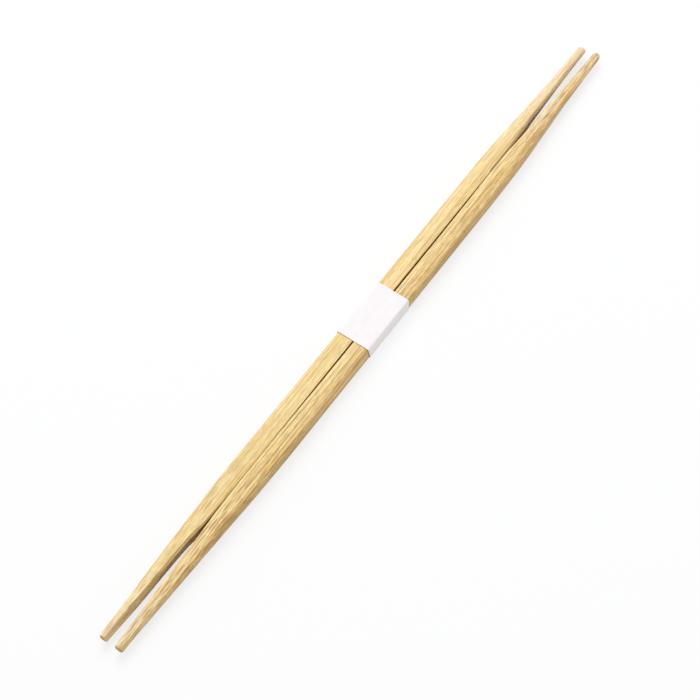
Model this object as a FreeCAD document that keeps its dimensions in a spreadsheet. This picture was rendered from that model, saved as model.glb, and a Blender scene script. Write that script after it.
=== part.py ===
"""A pair of bamboo chopsticks, tapered at both ends, held side by side by a white paper band.

The sticks lie along Y with the band at the middle of their length. X runs from the left
stick to the right one and Z is up. The origin is on the surface that the pair lies on,
under the middle of the band. Sizes are in millimetres.
"""
import FreeCAD, Part
import math
import os
import sys

import Sketcher

# Each size is set by itself here. The words beside it say what it measures.
SIZES = [
    ("left_length", 239.6, "left stick, end to end"),
    ("near_step", 0.2, "how far the right stick stands out past the left one at the near ends"),
    ("far_step", 0.6, "how far the right stick stands out past the left one at the far ends"),
    ("stick_width", 5.3, "one stick across, between its tapers"),
    ("stick_thickness", 5.0, "one stick from its underside to its top, between its tapers"),
    ("stick_gap", 0.17, "slit between the two sticks' inner faces"),
    ("outer_round", 0.8, "rounding of the two long edges that face away from the pair"),
    ("inner_round", 0.3, "rounding of the two long edges along the slit"),
    ("point_length", 25.0, "from a stick's end to the shoulder, where the taper grows steeper"),
    ("steep_length", 26.0, "from the shoulder to where the taper meets the full size"),
    ("taper_blend", 10.0, "length of the soft bend where the taper meets the full size"),
    ("shoulder_width", 3.6, "one stick across at the shoulder"),
    ("shoulder_thickness", 3.5, "underside to top at the shoulder"),
    ("tip_width", 2.42, "one stick across at its end"),
    ("tip_thickness", 2.4, "underside to top at its end"),
    ("tip_round", 0.85, "rounding of all four long edges at the end"),
    ("tip_ease", 0.22, "bevel around the end face"),
    ("tip_inset", 0.28, "how far an end's centre lies towards the slit from the stick's own centre"),
    ("band_width", 20.5, "paper band, along the sticks"),
    ("paper_thickness", 0.12, "one layer of the paper"),
    ("wrap_clearance", 0.05, "between the paper and the wood"),
    ("lap_margin", 0.6, "from the underside's long bends in to each end of the glued lap"),
    ("lap_ramp", 0.4, "length over which the outer layer drops under the inner one"),
]
# A section is first drawn about this large. Its constraints then give it its real size.
START_HALF = 2.0
START_ROUND = 0.5
LEAST_VOLUME = 1.0  # cubic millimetres: less than this isn't a piece


def cell(name):
    """The spreadsheet's value of that name, as an expression."""
    return f"<<sizes>>.{name}"


def make_sheet(doc):
    sheet = doc.addObject("Spreadsheet::Sheet", "sizes")
    for row, (name, value, words) in enumerate(SIZES, start=1):
        sheet.set(f"A{row}", name)
        sheet.set(f"B{row}", str(value))
        sheet.set(f"C{row}", words)
        sheet.setAlias(f"B{row}", name)
    doc.recompute()
    return sheet


def upright_sketch(body, name):
    """A sketch across the sticks: its own x is X and its own y is Z."""
    plane = next(o for o in body.Origin.OriginFeatures if o.Role == "XZ_Plane")
    sketch = body.newObject("Sketcher::SketchObject", name)
    sketch.AttachmentSupport = [(plane, "")]
    sketch.MapMode = "FlatFace"
    return sketch


def bind(sketch, constraint, name, expression):
    """Adds a named size to a sketch and ties it to the spreadsheet."""
    sketch.renameConstraint(sketch.addConstraint(constraint), name)
    sketch.setExpression(f"Constraints.{name}", expression)


def rounded_loop(sketch, left, right, low, high, rounds):
    """A closed loop of four sides and four rounded corners.

    left, right, low and high are expressions for the sides' places, measured from the
    sketch's origin, and rounds is the radius of the two left corners and the two right ones.
    """
    s, r = START_HALF, START_ROUND
    straight = [((-s + r, -s), (s - r, -s)), ((s, -s + r), (s, s - r)),
                ((s - r, s), (-s + r, s)), ((-s, s - r), (-s, -s + r))]
    corners = [((s - r, -s + r), -90, 0), ((s - r, s - r), 0, 90),
               ((-s + r, s - r), 90, 180), ((-s + r, -s + r), 180, 270)]
    first = sketch.GeometryCount
    for (here, there), (centre, begin, finish) in zip(straight, corners):
        sketch.addGeometry(Part.LineSegment(FreeCAD.Vector(*here, 0), FreeCAD.Vector(*there, 0)))
        circle = Part.Circle(FreeCAD.Vector(*centre, 0), FreeCAD.Vector(0, 0, 1), r)
        sketch.addGeometry(Part.ArcOfCircle(circle, math.radians(begin), math.radians(finish)))
    bottom, low_right, side_right, high_right, top, high_left, side_left, low_left = range(first, first + 8)
    for side in (bottom, side_right, top, side_left):
        before = low_left if side == bottom else side - 1
        sketch.addConstraint(Sketcher.Constraint("Tangent", side, 2, side + 1, 1))
        sketch.addConstraint(Sketcher.Constraint("Tangent", before, 2, side, 1))
    for side in (bottom, top):
        sketch.addConstraint(Sketcher.Constraint("Horizontal", side))
    for side in (side_right, side_left):
        sketch.addConstraint(Sketcher.Constraint("Vertical", side))
    sketch.addConstraint(Sketcher.Constraint("Equal", low_right, high_right))
    sketch.addConstraint(Sketcher.Constraint("Equal", low_left, high_left))
    tag = f"loop{first}"
    bind(sketch, Sketcher.Constraint("Radius", low_right, r), f"{tag}_right_round", rounds[1])
    bind(sketch, Sketcher.Constraint("Radius", low_left, r), f"{tag}_left_round", rounds[0])
    bind(sketch, Sketcher.Constraint("DistanceX", -1, 1, side_right, 1, s), f"{tag}_right", right)
    bind(sketch, Sketcher.Constraint("DistanceX", -1, 1, side_left, 1, -s), f"{tag}_left", left)
    bind(sketch, Sketcher.Constraint("DistanceY", -1, 1, bottom, 1, -s), f"{tag}_low", low)
    bind(sketch, Sketcher.Constraint("DistanceY", -1, 1, top, 1, s), f"{tag}_high", high)


def stations():
    """The sections of one half of a stick, from its end to its full size.

    Each has a name, its distance from the end, its width and thickness, how much of the
    end's own rounding and inset it has (1 at the end, 0 at full size), and how much the
    bevel round the end face takes off its rounding.
    """
    half_blend = f"{cell('taper_blend')} / 2"
    taper = f"({cell('point_length')} + {cell('steep_length')})"
    near_full = {
        size: f"({cell('stick_' + size)} - ({cell('stick_' + size)} - {cell('shoulder_' + size)})"
              f" * {half_blend} / {cell('steep_length')})"
        for size in ("width", "thickness")
    }
    return [
        ("end_face", "0", f"({cell('tip_width')} - 2 * {cell('tip_ease')})",
         f"({cell('tip_thickness')} - 2 * {cell('tip_ease')})", "1", cell("tip_ease")),
        ("end", cell("tip_ease"), cell("tip_width"), cell("tip_thickness"), "1", "0"),
        ("shoulder", cell("point_length"), cell("shoulder_width"), cell("shoulder_thickness"),
         f"({cell('steep_length')} / {taper})", "0"),
        ("near_full", f"({taper} - {half_blend})", near_full["width"], near_full["thickness"],
         f"({half_blend} / {taper})", "0"),
        ("full", f"({taper} + {half_blend})", cell("stick_width"), cell("stick_thickness"), "0", "0"),
    ]


def make_stick(doc, label, length):
    """One stick about its own centre, with its inner face towards its own -X.

    Ten sections along the stick are joined by straight sides, so that each half holds a
    bevelled end, a slender point, a steeper taper and then the full square.
    """
    body = doc.addObject("PartDesign::Body", label)
    body.Label = label
    sections = []
    for end, ordered in (("first", stations()), ("second", stations()[::-1])):
        for name, from_end, width, thickness, share, less in ordered:
            sketch = upright_sketch(body, f"{label}_{end}_{name}")
            centre = f"(0 - {cell('tip_inset')} * {share})"
            rounds = [f"({full} + ({cell('tip_round')} - {full}) * {share} - {less})"
                      for full in (cell("inner_round"), cell("outer_round"))]
            rounded_loop(sketch, f"{centre} - {width} / 2", f"{centre} + {width} / 2",
                         f"0 - {thickness} / 2", f"{thickness} / 2", rounds)
            place = f"({length} / 2 - {from_end})"
            sketch.setExpression("AttachmentOffset.Base.z", place if end == "first" else f"0 - {place}")
            sections.append(sketch)
    doc.recompute()
    loft = body.newObject("PartDesign::AdditiveLoft", f"{label}_loft")
    loft.Profile = sections[0]
    loft.Sections = sections[1:]
    loft.Ruled = True
    body.Tip = loft
    return body


def place_stick(body, side):
    """Sets a stick beside the slit: side is 1 on the right, and -1 on the left, turned to face it.

    The right stick is centred on the origin, and the left one lies by the steps between their ends.
    """
    turned = FreeCAD.Rotation(FreeCAD.Vector(0, 0, 1), 0 if side > 0 else 180)
    body.Placement = FreeCAD.Placement(FreeCAD.Vector(), turned)
    middle = f"({cell('stick_gap')} + {cell('stick_width')}) / 2"
    body.setExpression("Placement.Base.x", middle if side > 0 else f"0 - {middle}")
    along = f"({cell('near_step')} - {cell('far_step')}) / 2"
    body.setExpression("Placement.Base.y", "0" if side > 0 else along)
    body.setExpression("Placement.Base.z", f"2 * {cell('paper_thickness')} + {cell('wrap_clearance')}"
                                           f" + {cell('stick_thickness')} / 2")


def make_band(doc, label):
    """The paper strip, wrapped once round both sticks and glued to itself on the underside.

    A ring of one layer is padded along the sticks. A second pad is the lap under it: the
    outer layer drops down a short ramp and runs flat to its free end.
    """
    body = doc.addObject("PartDesign::Body", label)
    body.Label = label
    inside = f"({cell('stick_gap')} / 2 + {cell('stick_width')} + {cell('wrap_clearance')})"
    floor = f"(2 * {cell('paper_thickness')})"
    roof = f"({floor} + {cell('stick_thickness')} + 2 * {cell('wrap_clearance')})"
    bend = f"({cell('outer_round')} + {cell('wrap_clearance')})"
    paper = cell("paper_thickness")
    ring = upright_sketch(body, f"{label}_ring")
    rounded_loop(ring, f"0 - {inside} - {paper}", f"{inside} + {paper}", f"{floor} - {paper}",
                 f"{roof} + {paper}", (f"{bend} + {paper}", f"{bend} + {paper}"))
    rounded_loop(ring, f"0 - {inside}", inside, floor, roof, (bend, bend))
    doc.recompute()
    pad_along(body, ring, f"{label}_wrap")
    lap = upright_sketch(body, f"{label}_lap")
    end, step = START_HALF, START_ROUND
    corners = [(-end, 0), (end, 0), (end + step, step), (-end, step)]
    for here, there in zip(corners, corners[1:] + corners[:1]):
        lap.addGeometry(Part.LineSegment(FreeCAD.Vector(*here, 0), FreeCAD.Vector(*there, 0)))
    under, ramp, joint, free_end = range(4)
    for line in range(4):
        lap.addConstraint(Sketcher.Constraint("Coincident", line, 2, (line + 1) % 4, 1))
    lap.addConstraint(Sketcher.Constraint("Horizontal", under))
    lap.addConstraint(Sketcher.Constraint("Horizontal", joint))
    lap.addConstraint(Sketcher.Constraint("Vertical", free_end))
    lap.addConstraint(Sketcher.Constraint("PointOnObject", under, 1, -1))
    half_flat = f"({inside} - {bend} - {cell('lap_margin')})"
    bind(lap, Sketcher.Constraint("DistanceX", under, 1, -1, 1, end), "free_end", half_flat)
    bind(lap, Sketcher.Constraint("DistanceX", -1, 1, joint, 1, end + step), "joined_end", half_flat)
    bind(lap, Sketcher.Constraint("DistanceX", ramp, 1, ramp, 2, step), "ramp", cell("lap_ramp"))
    bind(lap, Sketcher.Constraint("DistanceY", ramp, 1, ramp, 2, step), "layer", paper)
    doc.recompute()
    pad_along(body, lap, f"{label}_under_lap")
    return body


def pad_along(body, sketch, name):
    """Pads a section of the band equally both ways along the sticks."""
    pad = body.newObject("PartDesign::Pad", name)
    pad.Profile = sketch
    pad.Midplane = True
    pad.setExpression("Length", cell("band_width"))
    body.Tip = pad


def faults(doc, parts):
    """What is wrong with the built document, as a list of messages."""
    found = [f"{o.Name}: {', '.join(o.State)}" for o in doc.Objects
             if any(word in o.State for word in ("Invalid", "Error"))]
    for body in parts:
        shape = body.Shape
        if shape.isNull() or not shape.isValid() or len(shape.Solids) != 1 or shape.Volume < LEAST_VOLUME:
            found.append(f"{body.Label}: not one valid solid")
    return found


def main():
    doc = FreeCAD.newDocument("chopsticks")
    make_sheet(doc)
    left = make_stick(doc, "left_chopstick", cell("left_length"))
    right_length = f"({cell('left_length')} + {cell('near_step')} + {cell('far_step')})"
    right = make_stick(doc, "right_chopstick", right_length)
    band = make_band(doc, "paper_band")
    place_stick(left, -1)
    place_stick(right, 1)
    doc.recompute()
    parts = (left, right, band)
    found = faults(doc, parts)
    if found:
        sys.exit("\n".join(found))
    os.makedirs("parts", exist_ok=True)
    for body in parts:
        body.Shape.exportStep(os.path.join("parts", f"{body.Label}.step"))
        box = body.Shape.BoundBox
        print(f"{body.Label}: {body.Shape.Volume:.2f} mm3, x {box.XMin:.3f} to {box.XMax:.3f},"
              f" y {box.YMin:.3f} to {box.YMax:.3f}, z {box.ZMin:.3f} to {box.ZMax:.3f}")


main()
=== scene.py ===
import math

import bmesh
import bpy
from bpy.props import FloatProperty, FloatVectorProperty, IntProperty, PointerProperty
from mathutils import Matrix, Vector, noise


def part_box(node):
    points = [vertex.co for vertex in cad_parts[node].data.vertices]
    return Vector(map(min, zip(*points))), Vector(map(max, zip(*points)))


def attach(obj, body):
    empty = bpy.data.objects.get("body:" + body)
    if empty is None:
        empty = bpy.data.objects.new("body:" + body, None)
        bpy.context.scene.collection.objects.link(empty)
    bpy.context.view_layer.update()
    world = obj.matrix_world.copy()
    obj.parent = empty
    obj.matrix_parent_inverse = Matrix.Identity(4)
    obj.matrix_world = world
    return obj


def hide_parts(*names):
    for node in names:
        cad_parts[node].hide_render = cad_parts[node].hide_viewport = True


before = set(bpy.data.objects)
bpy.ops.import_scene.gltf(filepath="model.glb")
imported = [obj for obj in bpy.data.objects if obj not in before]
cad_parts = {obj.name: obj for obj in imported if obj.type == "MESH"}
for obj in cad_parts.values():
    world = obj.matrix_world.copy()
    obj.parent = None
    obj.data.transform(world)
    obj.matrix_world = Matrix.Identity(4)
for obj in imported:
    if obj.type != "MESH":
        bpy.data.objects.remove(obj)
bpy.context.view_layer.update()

bl_info = {
    "name": "Bamboo chopsticks in a paper band",
    "version": (1, 0, 0),
    "blender": (4, 5, 0),
    "location": "3D View > Sidebar > Chopsticks",
    "description": "Builds a pair of double-ended bamboo chopsticks held side by side by a paper band",
    "category": "Add Mesh",
}

MM = 0.001

# Each stick's faces seen from above, in millimetres: the place along the pair, and how far the
# face lies from the pair's middle plane there. The knife doesn't taper the two ends alike, and
# the sticks bow apart a little beside the band.
INNER_FACE = {
    "left_chopstick": (
        (-120, 1.32), (-112, 1.2), (-105, 1.1), (-95, 1.1), (-88, 1.06), (-84, 0.84), (-80, 0.22),
        (-76, 0.02), (-73, -0.1), (-69, -0.1), (-64, -0.01), (-40, 0.0), (-15, 0.09), (15, 0.08),
        (45, 0.06), (71, 0.02), (76, 0.12), (86, 0.88), (92, 1.0), (105, 1.28), (120, 1.48)),
    "right_chopstick": (
        (-120, 1.3), (-105, 0.96), (-90, 0.7), (-80, 0.4), (-76, 0.24), (-73, 0.18), (-69, 0.18),
        (-64, 0.03), (-48, 0.01), (-25, 0.24), (20, 0.32), (45, 0.27), (58, 0.06), (69, 0.05),
        (79, 0.38), (87, 0.36), (98, 0.48), (120, 0.82)),
}
OUTER_FACE = {
    "left_chopstick": (
        (-120, 3.8), (-105, 4.12), (-90, 4.65), (-77, 4.95), (-69, 5.24), (-40, 5.21), (15, 5.24),
        (62, 5.19), (75, 5.01), (90, 4.53), (105, 4.3), (120, 4.15)),
    "right_chopstick": (
        (-120, 3.72), (-107, 3.73), (-90, 4.14), (-75, 4.54), (-64, 4.93), (-50, 5.13), (-12, 5.16),
        (20, 5.2), (55, 5.24), (66, 5.15), (75, 4.93), (90, 4.24), (105, 3.75), (120, 3.44)),
}
# Half the height of a stick, in millimetres, at distances from its near and its far end.
HALF_HEIGHT = {
    "near": ((0, 1.2), (15, 1.55), (30, 1.92), (45, 2.3), (58, 2.5)),
    "far": ((0, 0.9), (15, 1.25), (30, 1.75), (45, 2.28), (58, 2.5)),
}
TAPER_BEND = 2.5  # mm over which each corner of these outlines is softened
TAPER_LENGTH = 58.0  # mm from an end to where the long edges have their full shape

# Flats left by the knife at each end: the direction that the flat faces (0 right, 90 up,
# 180 left), how deep it bites at the end and how far up the stick it runs out, in mm.
FLATS = {
    ("left_chopstick", "near"): (
        (125, 0.38, 20), (22, 0.78, 30), (36, 0.42, 52), (215, 0.3, 12), (305, 0.32, 13)),
    ("right_chopstick", "near"): ((112, 0.1, 10), (22, 0.3, 40), (220, 0.2, 9), (318, 0.3, 11)),
    ("left_chopstick", "far"): ((32, 0.1, 58), (228, 0.1, 9), (310, 0.1, 7)),
    ("right_chopstick", "far"): ((165, 0.16, 6), (226, 0.12, 8), (316, 0.12, 9)),
}
# The ends: radius of the long edges there, and the length and the depth of the rounded end,
# all in mm.
END_SHAPE = {
    ("left_chopstick", "near"): (0.38, 0.26, 0.2),
    ("right_chopstick", "near"): (0.42, 0.3, 0.22),
    ("left_chopstick", "far"): (1.05, 1.1, 0.9),
    ("right_chopstick", "far"): (1.0, 2.1, 0.9),
}
FIBRE_RUN = 55.0  # mm along a stick over which a raised fibre changes
SWELL_WIDTH = 1.3  # mm across a broad swell of the planed wood
SWELL_RUN = 80.0  # mm along it

PAPER_LAYER = 0.12 * MM  # thickness of the paper in the frame's solid
LAP_GLUE = 0.003 * MM  # between the two layers of the lap
WAVE_WIDTH, WAVE_RUN = 4.2, 5.5  # mm round the band and along the sticks
CREASE_WIDTH, CREASE_RUN = 0.9, 14.0  # the same for the narrower creases
LIFT_REACH = 1.1  # mm from a cut edge to where the paper starts to lift
DIP_WIDTH = 0.7  # mm from the slit to where the dip over it fades
# Faces of the paper strip across its width, and along each of its runs and bends.
STRIP_FACES = {"width": 56, "foot": 26, "side": 11, "top": 34, "step": 2, "lap": 20, "bend": 8}

# Lines of the fibre bundles: mm apart, mm long, shift of the pattern, and how much of its
# cell a line fills.
BOLD_LINES = (0.6, 55, 3.3, 0.44)
THIN_LINES = (0.38, 34, 8.1, 0.5)
DASHES = (0.36, 6, 5.7, 0.5)
# Tones along the wood: mm wide, mm long, and detail of the noise.
STREAKS = (1.4, 90, 1.0)
STRANDS = (0.32, 60, 0.0)
FIBRES = (0.26, 7, 2.0)
# Where the wood's look changes along the pair: mm from the middle to where the change starts
# and to where it is full, and how full it gets.
NEAR_TAPER = (-48, -82, 1.0)
FAR_TAPER = (55, 112, 1.0)
NEAR_END = (-92, -116, 0.65)

# Settings that many nodes share.
SOFT = {"interpolation_type": "SMOOTHSTEP"}
MULTIPLY = {"operation": "MULTIPLY"}
MULTIPLY_ADD = {"operation": "MULTIPLY_ADD"}
MAXIMUM = {"operation": "MAXIMUM"}
COLOURED = {"data_type": "RGBA"}
CELLS = {"voronoi_dimensions": "3D", "feature": "F1"}


def linear(hex_colour):
    """An sRGB hex colour as linear red, green and blue."""
    parts = [int(hex_colour[i:i + 2], 16) / 255 for i in (0, 2, 4)]
    return tuple(c / 12.92 if c <= 0.04045 else ((c + 0.055) / 1.055) ** 2.4 for c in parts)


class StickSizes(bpy.types.PropertyGroup):
    """Sizes of the two sticks' surface. Their lengths and heights come from the frame."""

    inner_round: FloatProperty(
        name="Inner rounding", description="Radius of the long edges along the slit",
        default=0.13 * MM, min=0, unit="LENGTH")
    outer_round: FloatProperty(
        name="Outer rounding", description="Radius of the long edges on the outside",
        default=0.6 * MM, min=0, unit="LENGTH")
    fibre_spacing: FloatProperty(
        name="Fibre spacing", description="Distance between raised fibres",
        default=0.34 * MM, min=0.05 * MM, unit="LENGTH")
    fibre_relief: FloatProperty(
        name="Fibre relief", description="How far the wood sinks between its fibres",
        default=0.03 * MM, min=0, unit="LENGTH")
    ring_steps: IntProperty(
        name="Steps around", description="Points around a stick, a multiple of 32", default=192, min=32)


class BandSizes(bpy.types.PropertyGroup):
    """Sizes of the paper band. Its box comes from the frame."""

    paper: FloatProperty(
        name="Paper", description="Thickness of one layer", default=0.115 * MM, min=0, unit="LENGTH")
    bend_radius: FloatProperty(
        name="Bend radius", description="Inner radius of the bends over the sticks' upper edges",
        default=0.5 * MM, min=0, unit="LENGTH")
    foot_radius: FloatProperty(
        name="Foot radius", description="Inner radius of the bends round the sticks' lower edges",
        default=0.9 * MM, min=0, unit="LENGTH")
    lap_end: FloatProperty(
        name="Lap end", description="From the middle of the underside to each end of the lap",
        default=3.9 * MM, min=0, unit="LENGTH")
    slit_dip: FloatProperty(
        name="Dip over the slit", description="How far the paper sinks over the slit",
        default=0.05 * MM, min=0, unit="LENGTH")
    waviness: FloatProperty(
        name="Waviness", description="Height of the soft waves in the paper",
        default=0.04 * MM, min=0, unit="LENGTH")
    edge_lift: FloatProperty(
        name="Edge lift", description="How far the cut edges stand off the wood",
        default=0.07 * MM, min=0, unit="LENGTH")
    skew: FloatProperty(
        name="Skew", description="How far the band is turned from square across the sticks",
        default=math.radians(2.2), subtype="ANGLE")
    far_trim: FloatProperty(
        name="Far trim", description="How much shorter the paper is cut at its far edge",
        default=0.25 * MM, min=0, unit="LENGTH")
    foot_trim: FloatProperty(
        name="Foot trim",
        description="How much the near edge is cut back at the foot of the right side",
        default=0.9 * MM, min=0, unit="LENGTH")
    corner_trim: FloatProperty(
        name="Corner trim", description="How much the far edge is cut back at the left upper edge",
        default=0.6 * MM, min=0, unit="LENGTH")


class Colours(bpy.types.PropertyGroup):
    """Colours of the bamboo, the paper and the ground."""

    flesh: FloatVectorProperty(
        name="Bamboo flesh", description="Pale ground of the wood between its fibres",
        subtype="COLOR", default=linear("FFE7AE"))
    honey: FloatVectorProperty(
        name="Honey streaks", description="Broad deeper streaks",
        subtype="COLOR", default=linear("E4BE6C"))
    # Colour of the fibre bundles, also used as painted shade on the faces that turn downwards.
    bundle: FloatVectorProperty(
        name="Fibre bundles", description="Thin brown lines along the wood",
        subtype="COLOR", default=linear("A87B3F"))
    fresh: FloatVectorProperty(
        name="Planed ends", description="Paler wood where the tapers were planed",
        subtype="COLOR", default=linear("F9E5C1"))
    skin: FloatVectorProperty(
        name="Skin side", description="Tint of the wood near the culm's skin",
        subtype="COLOR", default=linear("DBBF8C"))
    # Painted shade: this brown stands in for the shade in the narrow slit between the sticks.
    slit_shade: FloatVectorProperty(
        name="Sawn faces", description="Rough brown wood along the slit",
        subtype="COLOR", default=linear("8E5A34"))
    end_grain: FloatVectorProperty(
        name="End grain", description="Cut ends of the bundles",
        subtype="COLOR", default=linear("CC9F4C"))
    paper: FloatVectorProperty(
        name="Paper", description="Bleached paper of the band",
        subtype="COLOR", default=linear("FEFAFB"))
    pulp: FloatVectorProperty(
        name="Thin pulp", description="Paper where its pulp is thinner",
        subtype="COLOR", default=linear("FBF6F7"))
    ground: FloatVectorProperty(
        name="Ground", description="Surface that the pair lies on",
        subtype="COLOR", default=linear("FDFEFF"))
    bounce: FloatVectorProperty(
        name="Bounce", description="Tone of the ground in the light that it throws back",
        subtype="COLOR", default=linear("F8F6F4"))


def between(points, place):
    """The value at a place, on straight lines through (place, value) points."""
    if place <= points[0][0]:
        return points[0][1]
    for (start, low), (end, high) in zip(points, points[1:]):
        if place <= end:
            return low + (high - low) * (place - start) / (end - start)
    return points[-1][1]


def softened(points, place):
    """The same value with the corners between the lines softened."""
    shifts = (-TAPER_BEND, -TAPER_BEND / 2, 0, TAPER_BEND / 2, TAPER_BEND)
    return sum(between(points, place + shift) for shift in shifts) / len(shifts)


def smooth(value):
    """A soft step from 0 to 1."""
    value = min(max(value, 0.0), 1.0)
    return value * value * (3 - 2 * value)


def ring_point(step, steps, half_width, half_height, rounds):
    """A point of a rounded rectangle, as x and z, counted from the middle of its right side.

    Each quarter has three eighths of its steps on a side, a quarter round the corner and
    three eighths on the next side. rounds holds the left and the right corners' radius.
    """
    quarter = steps // 4
    turn, place = divmod(step, quarter)
    right, up = ((1, 1), (-1, 1), (-1, -1), (1, -1))[turn]
    if turn % 2:
        place = quarter - place
    flat = quarter * 3 // 8
    radius = rounds[right > 0]
    if place < flat:
        x, z = half_width, (half_height - radius) * place / flat
    elif place > quarter - flat:
        x, z = (half_width - radius) * (quarter - place) / flat, half_height
    else:
        angle = math.radians(90) * (place - flat) / (quarter - 2 * flat)
        x = half_width - radius + radius * math.cos(angle)
        z = half_height - radius + radius * math.sin(angle)
    return right * x, up * z


def planed(x, z, section):
    """The point, moved onto whichever knife flat cuts it off."""
    half_width, half_height = section["half_width"], section["half_height"]
    radius = section["tip_round"]
    for facing, depth, run in section["flats"]:
        left = 1 - (section["from_end"] / run) ** 3
        if left <= 0:
            continue
        nx, nz = math.cos(math.radians(facing)), math.sin(math.radians(facing))
        reach = (half_width - radius) * abs(nx) + (half_height - radius) * abs(nz) + radius
        over = x * nx + z * nz - (reach - depth * left)
        if over > 0:
            x -= over * nx
            z -= over * nz
    return x, z


def stations(length):
    """Rings along a stick: distance from the near end and how far the ring is shrunk.

    The shrunk rings close the two end faces, from a point at the middle to the rim. The rings
    lie closest together at the rim, then 0.6 mm apart on the point and about 1 mm in between.
    """
    face = [(0.0, shrink) for shrink in (0.0, 0.3, 0.6, 0.85)]
    rim = [0, 0.015, 0.05, 0.1, 0.17, 0.26, 0.37, 0.5, 0.65, 0.82, 1.0, 1.2, 1.45, 1.7]
    point = [2 + 0.6 * n for n in range(18)]
    first = face + [(u, 1.0) for u in rim + point]
    middle_start = point[-1]
    count = round(length - 2 * middle_start)
    step = (length - 2 * middle_start) / count
    middle = [(middle_start + step * n, 1.0) for n in range(1, count)]
    return first + middle + [(length - u, shrink) for u, shrink in reversed(first)]


def section_at(name, sizes, ring, low, high):
    """A stick's cross-section at one ring, in millimetres."""
    along, shrink = ring
    start, end = low.y / MM, high.y / MM
    side = 1 if low.x + high.x > 0 else -1
    y = start + along
    which = "near" if y < 0 else "far"
    from_end = min(along, end - start - along)
    inner, outer = softened(INNER_FACE[name], y), softened(OUTER_FACE[name], y)
    half_width = (outer - inner) / 2
    half_height = softened(HALF_HEIGHT[which], from_end)
    tip_round, cap_length, cap_depth = END_SHAPE[name, which]
    # The rounding has to fit into the section.
    tip_round = min(tip_round, 0.95 * half_height)
    # 1 in the last 13 mm, where the long edges are rounded as the end is, and 0 past the taper.
    pointed = smooth(1.3 * (1 - from_end / TAPER_LENGTH))
    slit_edge = sizes.inner_round / MM * (1 - pointed) + tip_round * pointed
    outer_edge = sizes.outer_round / MM * (1 - pointed) + tip_round * pointed
    if from_end < cap_length:
        rise = 1 - from_end / cap_length
        shrink *= 1 - cap_depth / half_width * (1 - math.sqrt(1 - rise * rise))
    return {
        "side": side, "y": y, "from_end": from_end, "shrink": shrink,
        "centre_x": side * (inner + outer) / 2, "centre_z": (high.z + low.z) / 2 / MM,
        "half_width": half_width, "half_height": half_height,
        "rounds": (slit_edge, outer_edge) if side > 0 else (outer_edge, slit_edge),
        "tip_round": tip_round, "flats": FLATS[name, which],
    }


def shape_stick(name, sizes):
    """One stick as a bmesh, in metres."""
    low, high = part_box(name)
    rings = stations((high.y - low.y) / MM)
    sections = [section_at(name, sizes, ring, low, high) for ring in rings]
    steps = sizes.ring_steps

    made = bmesh.new()
    flat_circle = Matrix.Rotation(math.radians(90), 4, "X")
    bmesh.ops.create_circle(made, segments=steps, radius=1, matrix=flat_circle)
    front = made.edges[:]
    for _ in rings[1:]:
        grown = bmesh.ops.extrude_edge_only(made, edges=front)["geom"]
        front = [part for part in grown if isinstance(part, bmesh.types.BMEdge)]
        verts = [part for part in grown if isinstance(part, bmesh.types.BMVert)]
        bmesh.ops.translate(made, verts=verts, vec=(0, 1, 0))

    for vert in made.verts:
        step = round(math.atan2(vert.co.z, vert.co.x) / math.tau * steps) % steps
        vert.co = stick_point(sizes, sections[round(vert.co.y)], step) * MM
    bmesh.ops.remove_doubles(made, verts=made.verts, dist=0.0005 * MM)
    bmesh.ops.recalc_face_normals(made, faces=made.faces)
    return made


def stick_point(sizes, section, step):
    """Where one point of a stick's surface lies, in millimetres, with the relief of its fibres."""
    half_width, half_height = section["half_width"], section["half_height"]
    x, z = ring_point(step, sizes.ring_steps, half_width, half_height, section["rounds"])
    x, z = planed(x, z, section)
    side, y = section["side"], section["y"]
    # The shift gives each stick fibres of its own.
    shift = Vector((17.3 * side, 5.1, 9.7 * side))
    spacing = sizes.fibre_spacing / MM
    fine = noise.noise(Vector((x / spacing, z / spacing, y / FIBRE_RUN)) + shift)
    broad = noise.noise(Vector((x / SWELL_WIDTH, z / SWELL_WIDTH, y / SWELL_RUN)) - shift)
    sink = sizes.fibre_relief / MM * (0.7 * fine + 0.9 * broad - 1)
    grow = section["shrink"] * (1 + sink / math.hypot(x, z))
    return Vector((section["centre_x"] + x * grow, y, section["centre_z"] + z * grow))


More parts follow.
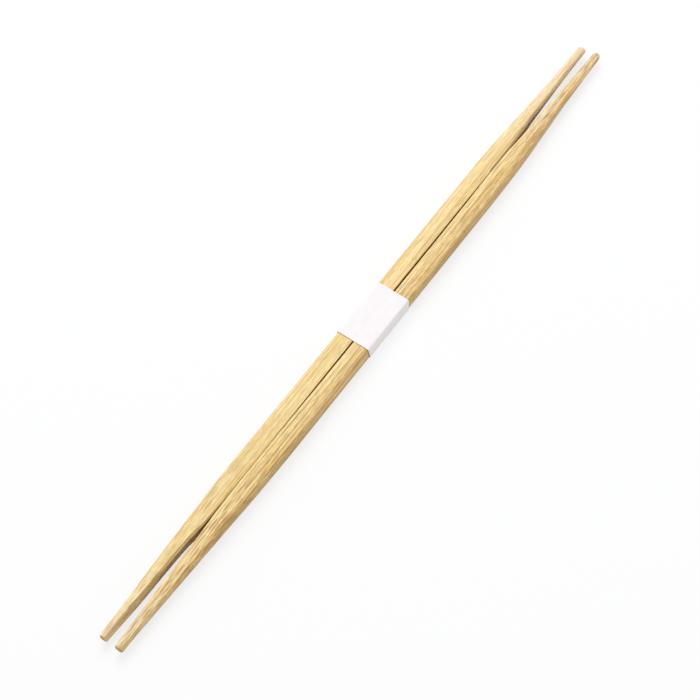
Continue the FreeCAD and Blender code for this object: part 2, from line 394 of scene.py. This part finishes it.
def shape_band(sizes):
    """The paper strip as a bmesh: rolled round the pair from its hidden end to its free end."""
    low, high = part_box("paper_band")
    paper, radius, foot = sizes.paper, sizes.bend_radius, sizes.foot_radius
    # The strip is the paper's inner face. At the sides it lies a layer further in than the
    # solid's, because these two sticks are a little narrower there.
    side = high.x - 2 * PAPER_LAYER
    roof = high.z - PAPER_LAYER
    floor = 2 * PAPER_LAYER
    made = bmesh.new()
    ends = [made.verts.new((sizes.lap_end, y, floor)) for y in (low.y, high.y)]
    strip = made.edges.new(ends)
    bmesh.ops.subdivide_edges(made, edges=[strip], cuts=STRIP_FACES["width"] - 1)
    front = made.edges[:]

    def run(front, x, z, part_name):
        """Extrudes the strip's front by x and z, in as many steps as that part has faces."""
        steps = STRIP_FACES[part_name]
        for _ in range(steps):
            grown = bmesh.ops.extrude_edge_only(made, edges=front)["geom"]
            front = [part for part in grown if isinstance(part, bmesh.types.BMEdge)]
            verts = [part for part in grown if isinstance(part, bmesh.types.BMVert)]
            bmesh.ops.translate(made, verts=verts, vec=(x / steps, 0, z / steps))
        return front

    def bend(front, x, z):
        """Rolls the strip's front a quarter turn round a centre at x and z."""
        verts = list({vert for edge in front for vert in edge.verts})
        rolled = bmesh.ops.spin(made, geom=verts + front, cent=(x, 0, z), axis=(0, 1, 0),
                                angle=math.radians(90), steps=STRIP_FACES["bend"],
                                use_duplicate=False)
        return [part for part in rolled["geom_last"] if isinstance(part, bmesh.types.BMEdge)]

    flat_top, flat_foot = side - radius, side - foot
    flat_side = roof - floor - radius - foot
    lap = floor - paper - LAP_GLUE
    front = run(front, -(flat_foot + sizes.lap_end), 0, "foot")
    front = bend(front, -flat_foot, floor + foot)
    front = run(front, 0, flat_side, "side")
    front = bend(front, -flat_top, roof - radius)
    front = run(front, 2 * flat_top, 0, "top")
    front = bend(front, flat_top, roof - radius)
    front = run(front, 0, -flat_side, "side")
    front = bend(front, flat_foot, floor + foot)
    front = run(front, sizes.lap_end - flat_foot, lap - floor, "step")
    run(front, -2 * sizes.lap_end, 0, "lap")
    middle_z = (floor + roof) / 2

    for vert in made.verts:
        far = (vert.co.y - low.y) / (high.y - low.y)
        right = (vert.co.x + side) / (2 * side)
        down = (roof - vert.co.z) / (roof - floor)
        # From 0 on the flat top to 1 round the left upper edge.
        left_edge = smooth((-vert.co.x - flat_top) / radius + 0.6)
        trimmed = far * (sizes.far_trim + sizes.corner_trim * left_edge)
        trimmed -= (1 - far) * sizes.foot_trim * right * down
        vert.co += paper_relief(vert.co, sizes, low.y, high.y, middle_z, side)
        vert.co.y -= trimmed + math.tan(sizes.skew) * vert.co.x
    bmesh.ops.recalc_face_normals(made, faces=made.faces)
    top = max(made.faces, key=lambda face: face.calc_center_median().z)
    if top.normal.z < 0:
        bmesh.ops.reverse_faces(made, faces=made.faces)
    bmesh.ops.solidify(made, geom=made.faces[:], thickness=-paper)
    bmesh.ops.recalc_face_normals(made, faces=made.faces)
    return made


def paper_relief(point, sizes, near, far, middle_z, side):
    """How far the paper lies off its plain wrapped shape at a point."""
    x, y, z = point / MM
    if z < 0.5:
        return Vector()
    # The high power keeps the direction square to each flat face, so it turns at the bends alone.
    right, up = x / (side / MM), (z * MM - middle_z) / middle_z
    out = Vector((math.copysign(right ** 8, right), 0, math.copysign(up ** 8, up))).normalized()
    from_edge = min(point.y - near, far - point.y) / MM
    wave = noise.noise(Vector((x / WAVE_WIDTH, y / WAVE_RUN, z / WAVE_WIDTH + 3.1)))
    crease = noise.noise(Vector((x / CREASE_WIDTH, y / CREASE_RUN, z / CREASE_WIDTH - 5.2)))
    # 1 from half a millimetre inside the sides outwards, where the bends hold the paper down.
    corner = smooth((abs(x) - side / MM + 1.4) / 0.9)
    lift = sizes.edge_lift * smooth(1 - from_edge / LIFT_REACH) * (1 - corner)
    lift *= 0.75 + 0.5 * noise.noise(Vector((x / 2, y / 9, 7.7)))
    swell = sizes.waviness * (0.6 + 0.7 * wave + 0.35 * crease) * smooth((z - 0.4) / 1.5)
    dip = sizes.slit_dip * math.exp(-(x / DIP_WIDTH) ** 2) if z > 3 else 0
    return out * (lift + swell - dip)


def hand_over(made, name, body, material, sharp_angle=None):
    """Makes a bmesh into a finished piece that stands for a node of the frame."""
    mesh = bpy.data.meshes.new(name)
    made.to_mesh(mesh)
    made.free()
    mesh.shade_smooth()
    if sharp_angle is not None:
        mesh.set_sharp_from_angle(angle=sharp_angle)
    mesh.materials.append(material)
    piece = bpy.data.objects.new(name + "_visible", mesh)
    bpy.context.scene.collection.objects.link(piece)
    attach(piece, body)
    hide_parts(name)


def add_node(material, kind, settings=None, inputs=None, output=0):
    """Adds a node to a material or world and gives back one of its outputs.

    settings holds the node's own options. inputs holds the values of its sockets, or the
    outputs that they are linked to.
    """
    tree = material.node_tree
    made = tree.nodes.new("ShaderNode" + kind)
    for name, value in (settings or {}).items():
        setattr(made, name, value)
    for name, value in (inputs or {}).items():
        socket = made.inputs[name]
        if isinstance(value, bpy.types.NodeSocket):
            tree.links.new(value, socket)
        else:
            socket.default_value = value
    return made.outputs[output] if made.outputs else None


def per(*lengths):
    """The texture scale at which one pattern cell has those lengths."""
    scales = tuple(1 / length for length in lengths)
    return scales if len(scales) > 1 else scales[0]


def blank_material(name):
    """A new material with no nodes in it."""
    material = bpy.data.materials.new(name)
    material.use_nodes = True
    material.node_tree.nodes.clear()
    return material


def tapers(material, along):
    """How far into the near and the far taper a point is, and how close to the near end."""
    return [
        add_node(material, "MapRange", SOFT, {
            "Value": along, "From Min": start * MM, "From Max": full * MM, "To Max": most})
        for start, full, most in (NEAR_TAPER, FAR_TAPER, NEAR_END)]


def wandering_grain(material, place, taper, crowding):
    """Places on the wood, shifted as its grain wanders.

    It wanders by a few tenths of a millimetre, and by more on the tapers, where the lines run
    out at the surface.
    """
    drift = add_node(material, "TexNoise", None, {
        "Vector": add_node(material, "Mapping", None, {
            "Vector": place, "Location": (crowding, 0.4, 2.2), "Scale": per(6 * MM, 42 * MM, 6 * MM)}),
        "Scale": 1.0, "Detail": 1.0}, output="Color")
    drift = add_node(material, "VectorMath", {"operation": "SUBTRACT"}, {0: drift, 1: (0.5, 0.5, 0.5)})
    reach = add_node(material, "Math", MULTIPLY_ADD, {0: taper, 1: 1.1 * MM, 2: 0.3 * MM})
    drift = add_node(material, "VectorMath", {"operation": "SCALE"}, {0: drift, "Scale": reach})
    return add_node(material, "VectorMath", {"operation": "ADD"}, {0: place, 1: drift})


def bundle_lines(material, grain, skin, crowding, near_taper, near_end):
    """The dark lines of the fibre bundles, from 0 to 1.

    Bold bundles lie 0.6 mm apart, thinner ones 0.38 mm apart between them, and where the near
    tapers begin the knife cuts them into dashes a few millimetres long.
    """
    lines = []
    for apart, long, shift, share in (BOLD_LINES, THIN_LINES, DASHES):
        cells = add_node(material, "TexVoronoi", CELLS, {
            "Vector": add_node(material, "Mapping", None, {
                "Vector": grain, "Location": (shift * crowding, 1.7, shift),
                "Scale": per(apart * MM, long * MM, apart * MM)}),
            "Scale": 1.0, "Randomness": 0.9}, output="Distance")
        chance = add_node(material, "SeparateColor", None, {"Color": cells.node.outputs["Color"]})
        core = add_node(material, "MapRange", SOFT, {
            "Value": cells, "From Min": 0.28, "From Max": share, "To Min": 1.0, "To Max": 0.0})
        shown = add_node(material, "MapRange", SOFT, {
            "Value": add_node(material, "Math", MULTIPLY_ADD, {0: skin, 1: crowding, 2: chance}),
            "From Min": 0.4, "From Max": 0.95, "To Min": 0.1, "To Max": 1.0})
        lines.append(add_node(material, "Math", MULTIPLY, {0: core, 1: shown}))
    bold, thin, dashes = lines
    often = add_node(material, "Math", MULTIPLY_ADD, {0: near_end, 1: -1.4, 2: 0.5})
    often = add_node(material, "Math", MULTIPLY_ADD, {0: near_taper, 1: 1.2, 2: often})
    dark = add_node(material, "Math", MULTIPLY, {0: dashes, 1: often})
    dark = add_node(material, "Math", MULTIPLY_ADD, {0: thin, 1: 0.6, 2: dark})
    return add_node(material, "Math", {**MULTIPLY_ADD, "use_clamp": True}, {0: bold, 1: 0.5, 2: dark})


def strand_tones(material, grain, crowding):
    """How deep the wood's tone is, from 0 to 1, and the fine fibres alone.

    Light and deeper strands lie side by side about every 0.7 mm and run straight along the
    stick, with softer streaks some millimetres wide under them.
    """
    streaks, strands, fibres = [
        add_node(material, "TexNoise", None, {
            "Vector": add_node(material, "Mapping", None, {
                "Vector": grain, "Location": (5.5, crowding, 1.2),
                "Scale": per(wide * MM, long * MM, wide * MM)}),
            "Scale": 1.0, "Detail": detail, "Roughness": 0.6})
        for wide, long, detail in (STREAKS, STRANDS, FIBRES)]
    strands = add_node(material, "MapRange", SOFT, {"Value": strands, "From Min": 0.4, "From Max": 0.6})
    tone = add_node(material, "Math", MULTIPLY, {0: streaks, 1: 0.5})
    tone = add_node(material, "Math", MULTIPLY_ADD, {0: strands, 1: 0.32, 2: tone})
    tone = add_node(material, "Math", MULTIPLY_ADD, {0: fibres, 1: 0.35, 2: tone})
    tone = add_node(material, "MapRange", SOFT, {"Value": tone, "From Min": 0.27, "From Max": 1.04})
    return tone, fibres


def pale_ends(material, grain, far_taper, near_end):
    """Where the planed ends are paler: in uneven patches, most at the far end."""
    patches = add_node(material, "MapRange", SOFT, {
        "Value": add_node(material, "TexNoise", None, {
            "Vector": add_node(material, "Mapping", None, {
                "Vector": grain, "Location": (1.1, 2.3, 7.7),
                "Scale": per(1.5 * MM, 11 * MM, 1.5 * MM)}),
            "Scale": 1.0, "Detail": 2.0}),
        "From Min": 0.3, "From Max": 0.62, "To Min": 0.25})
    ends = add_node(material, "Math", {"operation": "ADD"}, {0: far_taper, 1: near_end})
    return add_node(material, "Math", MULTIPLY, {0: ends, 1: patches})


def cut_fibres(material, grain):
    """Short cut fibres and pores, 0.3 mm wide, each with a value of its own from 0 to 1."""
    cells = add_node(material, "TexVoronoi", CELLS, {
        "Vector": add_node(material, "Mapping", None, {
            "Vector": grain, "Location": (0.9, 4.1, 6.6), "Scale": per(0.3 * MM, 1.6 * MM, 0.3 * MM)}),
        "Scale": 1.0}, output="Color")
    return add_node(material, "SeparateColor", None, {"Color": cells})


def painted_slit_shade(material, facing, across):
    """Painted shade in the slit: brown where the wood faces the slit, most where the slit is narrow."""
    side = add_node(material, "Math", {"operation": "SIGN"}, {0: across})
    slit_shade = add_node(material, "MapRange", SOFT, {
        "Value": add_node(material, "Math", MULTIPLY, {0: facing, 1: side}),
        "From Min": -0.9, "From Max": -0.99, "To Max": 0.85})
    narrow = add_node(material, "MapRange", SOFT, {
        "Value": add_node(material, "Math", {"operation": "ABSOLUTE"}, {0: across}),
        "From Min": 0.33 * MM, "From Max": 0.6 * MM, "To Min": 1.0, "To Max": 0.42})
    return add_node(material, "Math", MULTIPLY, {0: slit_shade, 1: narrow})


def bamboo(name, colours, skin_from, skin_to, crowding, contrast):
    """Planed bamboo: straight brown fibre bundles in pale flesh, denser towards the culm's skin.

    The skin lies on the right, and skin_from and skin_to are where the wood starts to deepen
    and where it is deepest. The bundles are long cells, so the faces along the stick show them
    as lines and its ends as dots, as cut bamboo does. Its surface is dull and silky.
    """
    material = blank_material(name)
    place = add_node(material, "TexCoord", output="Object")
    across, along, _ = add_node(material, "SeparateXYZ", None, {"Vector": place}).node.outputs
    normal = add_node(material, "NewGeometry", output="Normal")
    facing, end_on, upward = add_node(material, "SeparateXYZ", None, {"Vector": normal}).node.outputs

    near_taper, far_taper, near_end = tapers(material, along)
    taper = add_node(material, "Math", MULTIPLY_ADD, {0: far_taper, 1: 0.35, 2: near_taper})
    grain = wandering_grain(material, place, taper, crowding)

    # The skin runs a little askew, and the tapers are cut down towards it.
    skin = add_node(material, "Math", MULTIPLY_ADD, {0: along, 1: 0.012, 2: across})
    skin = add_node(material, "MapRange", SOFT, {
        "Value": add_node(material, "Math", MULTIPLY_ADD, {0: taper, 1: 1.0 * MM, 2: skin}),
        "From Min": skin_from, "From Max": skin_to})

    dark = bundle_lines(material, grain, skin, crowding, near_taper, near_end)
    deep, fibres = strand_tones(material, grain, crowding)
    fleck = cut_fibres(material, grain)

    def laid_over(wood, share, colour, blend="MIX"):
        """The wood's colour with another one over it, where share is above 0."""
        over = colour if isinstance(colour, bpy.types.NodeSocket) else (*colour, 1)
        return add_node(material, "Mix", {**COLOURED, "blend_type": blend}, {
            0: share, 6: wood, 7: over}, output=2)

    # From the pale ground up: its deeper strands, the paler ends, the deeper colour towards the
    # skin, and the dark bundles.
    wood = laid_over((*colours.flesh, 1), deep, colours.honey)
    wood = laid_over(wood, pale_ends(material, grain, far_taper, near_end), colours.fresh)
    skin_share = add_node(material, "Math", MULTIPLY, {0: skin, 1: contrast * 0.54})
    wood = laid_over(wood, skin_share, colours.skin, blend="MULTIPLY")
    wood = laid_over(wood, add_node(material, "Math", MULTIPLY, {0: dark, 1: contrast}), colours.bundle)

    # Cut fibres of slightly different tone give the planed faces their fine grain.
    spread = contrast * 0.18
    tone = add_node(material, "MapRange", None, {
        "Value": fleck, "To Min": 1 - spread, "To Max": 1 + spread})
    wood = add_node(material, "HueSaturation", None, {"Value": tone, "Color": wood})

    # Painted shade: faces that turn downwards are browned with the bundles' colour, and the faces along
    # the slit are browned most where the slit is narrow, both standing in for the shade under and
    # between the sticks.
    underside = add_node(material, "MapRange", SOFT, {
        "Value": upward, "From Min": 0.1, "From Max": -0.3, "To Max": 0.85})
    wood = laid_over(wood, underside, colours.bundle)
    # Painted shade along the slit.
    wood = laid_over(wood, painted_slit_shade(material, facing, across), colours.slit_shade)

    # The near ends are cut square across the bundles and soak up more dirt, so they are browner,
    # and the bundles show there as dots.
    cut = add_node(material, "MapRange", SOFT, {
        "Value": end_on, "From Min": -0.5, "From Max": -0.8, "To Max": 0.9})
    wood = laid_over(wood, cut, laid_over((*colours.end_grain, 1), dark, colours.bundle))

    height = add_node(material, "Math", MULTIPLY_ADD, {0: fleck, 1: 0.5, 2: fibres})
    height = add_node(material, "Math", MULTIPLY_ADD, {0: dark, 1: -0.8, 2: height})
    bump = add_node(material, "Bump", None, {"Height": height, "Strength": 0.7, "Distance": 0.05 * MM})
    rough = add_node(material, "MapRange", None, {"Value": dark, "To Min": 0.5, "To Max": 0.68})
    shader = add_node(material, "BsdfPrincipled", None, {
        "Base Color": wood, "Roughness": rough, "Normal": bump,
        "IOR": 1.45, "Specular IOR Level": 0.35})
    add_node(material, "OutputMaterial", None, {"Surface": shader})
    return material


def bleached_paper(colours):
    """Bleached machine-made paper: matt, almost white, faintly cloudy where its pulp is uneven."""
    material = blank_material("bleached_paper")
    place = add_node(material, "TexCoord", output="Object")
    cloud = add_node(material, "TexNoise", None, {
        "Vector": place, "Scale": per(2.6 * MM), "Detail": 3.0, "Roughness": 0.6})
    pulp = add_node(material, "TexNoise", None, {
        "Vector": place, "Scale": per(0.35 * MM), "Detail": 3.0, "Roughness": 0.7})
    fade = add_node(material, "MapRange", None, {"Value": cloud, "From Min": 0.35, "From Max": 0.7})
    tone = add_node(material, "Mix", COLOURED, {
        0: fade, 6: (*colours.paper, 1), 7: (*colours.pulp, 1)}, output=2)
    bump = add_node(material, "Bump", None, {"Height": pulp, "Strength": 0.25, "Distance": 0.03 * MM})
    shader = add_node(material, "BsdfPrincipled", None, {
        "Base Color": tone, "Roughness": 0.78, "Normal": bump, "Specular IOR Level": 0.25})
    add_node(material, "OutputMaterial", None, {"Surface": shader})
    return material


def seen_directly(material):
    """1 for what the camera sees straight, in a mirror or through glass, and 0 for all other light."""
    path = add_node(material, "LightPath").node
    first = add_node(material, "Math", MAXIMUM, {
        0: path.outputs["Is Camera Ray"], 1: path.outputs["Is Glossy Ray"]})
    return add_node(material, "Math", MAXIMUM, {0: first, 1: path.outputs["Is Transmission Ray"]})


def white_ground(colours, glow_share):
    """Plain white sweep. To the eye it is partly a white glow, which keeps the shadow light.

    The light that it throws back at the sticks is a little greyer than what is seen of it.
    """
    material = blank_material("white_ground")
    seen = seen_directly(material)
    surface = add_node(material, "Mix", COLOURED, {
        0: seen, 6: (*colours.bounce, 1), 7: (*colours.ground, 1)}, output=2)
    diffuse = add_node(material, "BsdfDiffuse", None, {"Color": surface})
    glow = add_node(material, "Emission", None, {"Color": (1, 1, 1, 1), "Strength": 1.0})
    share = add_node(material, "Math", MULTIPLY, {0: seen, 1: glow_share})
    both = add_node(material, "MixShader", None, {0: share, 1: diffuse, 2: glow})
    add_node(material, "OutputMaterial", None, {"Surface": both})
    return material


class CHOPSTICKS_OT_add_sticks(bpy.types.Operator):
    """Builds the two bamboo sticks"""

    bl_idname = "chopsticks.add_sticks"
    bl_label = "Add the sticks"

    def execute(self, context):
        sizes, colours = context.scene.stick_sizes, context.scene.chopstick_colours
        finishes = {
            "left_chopstick": bamboo(
                "planed_bamboo_pale", colours, skin_from=-1.8 * MM, skin_to=0.3 * MM,
                crowding=0.4, contrast=0.5),
            "right_chopstick": bamboo(
                "planed_bamboo_dense", colours, skin_from=0.8 * MM, skin_to=5.6 * MM,
                crowding=0.65, contrast=0.75),
        }
        for name, finish in finishes.items():
            hand_over(shape_stick(name, sizes), name, "root", finish)
        return {"FINISHED"}


class CHOPSTICKS_OT_add_band(bpy.types.Operator):
    """Builds the paper band"""

    bl_idname = "chopsticks.add_band"
    bl_label = "Add the paper band"

    def execute(self, context):
        finish = bleached_paper(context.scene.chopstick_colours)
        hand_over(shape_band(context.scene.band_sizes), "paper_band", "root", finish,
                  sharp_angle=math.radians(50))
        return {"FINISHED"}


class CHOPSTICKS_OT_add_stage(bpy.types.Operator):
    """Sets the ground, the lamps, the world and the camera"""

    bl_idname = "chopsticks.add_stage"
    bl_label = "Add the stage"

    def execute(self, context):
        scene = context.scene
        add_ground(scene)
        add_lamps(scene)
        add_world(scene)
        add_camera(scene)
        scene.view_settings.view_transform = "Standard"
        return {"FINISHED"}


def add_ground(scene):
    """A wide flat ground under the pair."""
    made = bmesh.new()
    bmesh.ops.create_grid(made, x_segments=1, y_segments=1, size=3.0)
    mesh = bpy.data.meshes.new("ground")
    made.to_mesh(mesh)
    made.free()
    mesh.materials.append(white_ground(scene.chopstick_colours, scene.stage_light.ground_glow))
    ground = bpy.data.objects.new("ground", mesh)
    scene.collection.objects.link(ground)


def add_lamps(scene):
    """A soft box high up, behind the pair on the left."""
    light = scene.stage_light
    lamp = bpy.data.lights.new("soft_box", "AREA")
    lamp.shape = "RECTANGLE"
    lamp.size, lamp.size_y = light.box_width, light.box_width
    lamp.energy = light.box_power
    made = bpy.data.objects.new("soft_box", lamp)
    made.location = light.box_place
    made.rotation_euler = (-Vector(light.box_place)).to_track_quat("-Z", "Y").to_euler()
    scene.collection.objects.link(made)


def add_world(scene):
    """Even white light from all round, and plain white where the camera sees past the ground."""
    world = bpy.data.worlds.new("white_room")
    world.use_nodes = True
    world.node_tree.nodes.clear()
    strength = add_node(world, "MapRange", None, {
        "Value": seen_directly(world), "To Min": scene.stage_light.fill, "To Max": 1.0})
    back = add_node(world, "Background", None, {"Color": (1, 1, 1, 1), "Strength": strength})
    add_node(world, "OutputWorld", None, {"Surface": back})
    scene.world = world


def add_camera(scene):
    """A long lens above the near end, to the right of the sticks."""
    view = scene.stage_view
    azimuth, elevation = view.azimuth, view.elevation
    back = Vector((math.sin(azimuth) * math.cos(elevation), -math.cos(azimuth) * math.cos(elevation),
                   math.sin(elevation)))
    lens = bpy.data.cameras.new("camera")
    lens.sensor_width = view.sensor
    lens.lens = view.lens
    lens.clip_start = 0.01
    camera = bpy.data.objects.new("camera", lens)
    camera.location = Vector(view.aim) + back * view.distance
    camera.rotation_euler = (-back).to_track_quat("-Z", "Y").to_euler()
    scene.collection.objects.link(camera)
    scene.camera = camera


class StageLight(bpy.types.PropertyGroup):
    """The light on the pair and its ground."""

    box_width: FloatProperty(
        name="Soft box width", description="Side of the square soft box",
        default=0.8, min=0.01, unit="LENGTH")
    box_power: FloatProperty(
        name="Soft box power", description="Light given by the soft box",
        default=7.8, min=0, unit="POWER")
    box_place: FloatVectorProperty(
        name="Soft box place", description="Middle of the soft box",
        default=(-0.5, 0.5, 1.0), subtype="XYZ")
    fill: FloatProperty(
        name="Fill", description="Strength of the even light from all round", default=0.62, min=0)
    ground_glow: FloatProperty(
        name="Ground glow", description="Share of plain white in what the camera sees of the ground",
        default=0.74, min=0, max=1)


class StageView(bpy.types.PropertyGroup):
    """Where the camera stands."""

    azimuth: FloatProperty(
        name="Azimuth", description="Turn from straight behind the near ends to the right",
        default=math.radians(34.22), subtype="ANGLE")
    elevation: FloatProperty(
        name="Elevation", description="Height above the ground as an angle",
        default=math.radians(57.05), subtype="ANGLE")
    distance: FloatProperty(
        name="Distance", description="From the camera to its aim", default=583.7 * MM, unit="LENGTH")
    aim: FloatVectorProperty(
        name="Aim", description="Point at the middle of the picture",
        default=(-0.86 * MM, -10.44 * MM, 0.17 * MM), subtype="XYZ")
    lens: FloatProperty(name="Lens", description="Focal length in millimetres", default=107.26, min=1)
    sensor: FloatProperty(name="Sensor", description="Sensor width in millimetres", default=36.0, min=1)


class CHOPSTICKS_PT_panel(bpy.types.Panel):
    """Sizes, colours and building steps"""

    bl_label = "Chopsticks"
    bl_idname = "CHOPSTICKS_PT_panel"
    bl_space_type = "VIEW_3D"
    bl_region_type = "UI"
    bl_category = "Chopsticks"

    def draw(self, context):
        for name in GROUPS:
            box = self.layout.box()
            group = getattr(context.scene, name)
            for prop in group.bl_rna.properties:
                if not prop.is_readonly and prop.identifier != "name":
                    box.prop(group, prop.identifier)
        for operator in STEPS:
            self.layout.operator(operator.bl_idname)


GROUPS = {
    "stick_sizes": StickSizes,
    "band_sizes": BandSizes,
    "chopstick_colours": Colours,
    "stage_light": StageLight,
    "stage_view": StageView,
}
STEPS = (CHOPSTICKS_OT_add_sticks, CHOPSTICKS_OT_add_band, CHOPSTICKS_OT_add_stage)
CLASSES = (*GROUPS.values(), *STEPS, CHOPSTICKS_PT_panel)


def register():
    for kind in CLASSES:
        bpy.utils.register_class(kind)
    for name, kind in GROUPS.items():
        setattr(bpy.types.Scene, name, PointerProperty(type=kind))


def unregister():
    for name in GROUPS:
        delattr(bpy.types.Scene, name)
    for kind in reversed(CLASSES):
        bpy.utils.unregister_class(kind)


def main():
    register()
    bpy.ops.chopsticks.add_sticks()
    bpy.ops.chopsticks.add_band()
    bpy.ops.chopsticks.add_stage()


if __name__ == "__main__":
    main()
